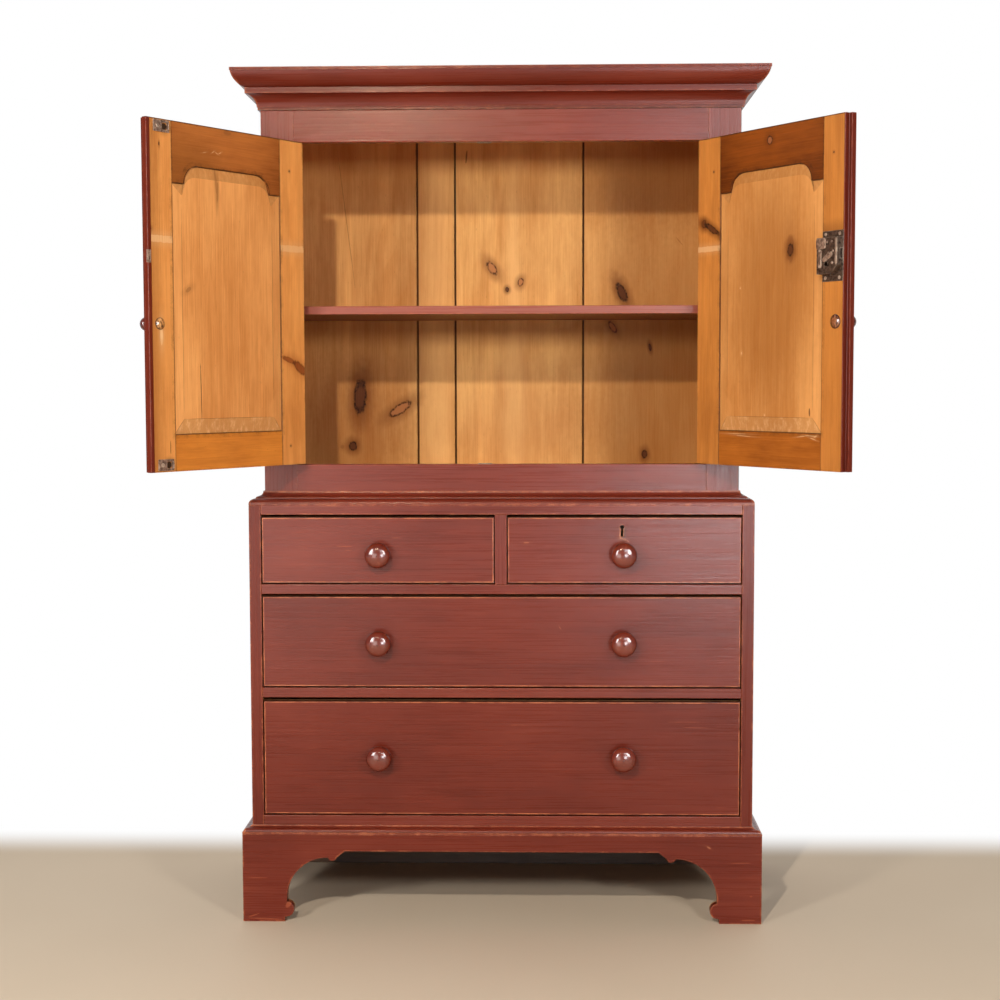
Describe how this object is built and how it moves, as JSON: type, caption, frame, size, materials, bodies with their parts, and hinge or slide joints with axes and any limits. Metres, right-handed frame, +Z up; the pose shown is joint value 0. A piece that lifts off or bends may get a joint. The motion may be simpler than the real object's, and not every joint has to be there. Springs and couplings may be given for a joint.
{
  "type": "linen press",
  "caption": "Painted pine linen press: a cupboard with arched panel doors and a shelf, standing on a chest of drawers with turned knobs and a bracket-foot plinth.",
  "frame": {"origin": "floor level at the middle of the back, under the back board of the plinth", "axes": "+Z up, -Y out of the front, +X to the right as seen from the front"},
  "size_m": [1.3658, 0.799, 1.7995],
  "materials": {
    "red_paint": "satin oxblood paint, worn at the edges",
    "knob_paint": "turned and painted, rubbed to a gloss",
    "waxed_pine": "waxed pine inside, painted outside",
    "bare_pine": "plain pine",
    "iron": "dull dark iron"
  },
  "bodies": {
    "carcass": {"chest_sides": "red_paint", "chest_top_rail": "red_paint", "chest_upper_rail": "red_paint", "chest_lower_rail": "red_paint", "chest_bottom_rail": "red_paint", "drawer_divider": "red_paint", "plinth_front": "red_paint", "plinth_sides": "red_paint", "plinth_moulding": "red_paint", "frieze_rail": "red_paint", "cupboard_base_rail": "red_paint", "cupboard_stiles": "red_paint", "cupboard_sides": "red_paint", "waist_moulding": "red_paint", "cornice": "red_paint", "shelf": "red_paint", "chest_top_board": "bare_pine", "chest_floor_board": "bare_pine", "drawer_runners": "bare_pine", "drawer_stops": "bare_pine", "chest_back_boards": "bare_pine", "plinth_back": "bare_pine", "plinth_blocks": "bare_pine", "cupboard_floor_board": "bare_pine", "cupboard_top_board": "bare_pine", "cupboard_back_boards": "bare_pine", "hinge_frame_leaves": "iron", "hinge_pins": "iron", "catch_strikes": "iron"},
    "left_door": {"left_door_stiles": "waxed_pine", "left_door_top_rail": "waxed_pine", "left_door_bottom_rail": "waxed_pine", "left_door_panel": "waxed_pine", "left_door_knob": "knob_paint", "left_door_hinge_leaves": "iron", "left_door_catch_plates": "iron", "door_lock_keep": "iron"},
    "right_door": {"right_door_stiles": "waxed_pine", "right_door_top_rail": "waxed_pine", "right_door_bottom_rail": "waxed_pine", "right_door_panel": "waxed_pine", "right_door_knob": "knob_paint", "right_door_hinge_leaves": "iron", "door_lock_plate": "iron", "door_lock_case": "iron"},
    "door_lock_bolt": {"door_lock_bolt": "iron"},
    "left_short_drawer": {"left_short_drawer_front": "red_paint", "left_short_drawer_box": "bare_pine", "left_short_drawer_knobs": "knob_paint"},
    "right_short_drawer": {"right_short_drawer_front": "red_paint", "right_short_drawer_box": "bare_pine", "right_short_drawer_knobs": "knob_paint", "drawer_lock_case": "iron"},
    "middle_drawer": {"middle_drawer_front": "red_paint", "middle_drawer_box": "bare_pine", "middle_drawer_knobs": "knob_paint"},
    "bottom_drawer": {"bottom_drawer_front": "red_paint", "bottom_drawer_box": "bare_pine", "bottom_drawer_knobs": "knob_paint"},
    "drawer_lock_bolt": {"drawer_lock_bolt": "iron"}
  },
  "joints": [
    {"name": "left_door_hinge", "type": "hinge", "parent": "carcass", "child": "left_door", "pos_m": [-0.43325, -0.4189, 1.31], "axis": [0, 0, -1], "range_deg": [-124, 46]},
    {"name": "right_door_hinge", "type": "hinge", "parent": "carcass", "child": "right_door", "pos_m": [0.43325, -0.4189, 1.31], "axis": [0, 0, 1], "range_deg": [-124, 46]},
    {"name": "door_lock_throw", "type": "slide", "parent": "right_door", "child": "door_lock_bolt", "axis": [0.5592, -0.829, 0], "range_m": [0, 0.01]},
    {"name": "left_short_drawer_slide", "type": "slide", "parent": "carcass", "child": "left_short_drawer", "axis": [0, -1, 0], "range_m": [0, 0.3]},
    {"name": "right_short_drawer_slide", "type": "slide", "parent": "carcass", "child": "right_short_drawer", "axis": [0, -1, 0], "range_m": [0, 0.3]},
    {"name": "middle_drawer_slide", "type": "slide", "parent": "carcass", "child": "middle_drawer", "axis": [0, -1, 0], "range_m": [0, 0.3]},
    {"name": "bottom_drawer_slide", "type": "slide", "parent": "carcass", "child": "bottom_drawer", "axis": [0, -1, 0], "range_m": [0, 0.3]},
    {"name": "drawer_lock_throw", "type": "slide", "parent": "right_short_drawer", "child": "drawer_lock_bolt", "axis": [0, 0, 1], "range_m": [0, 0.008]}
  ]
}
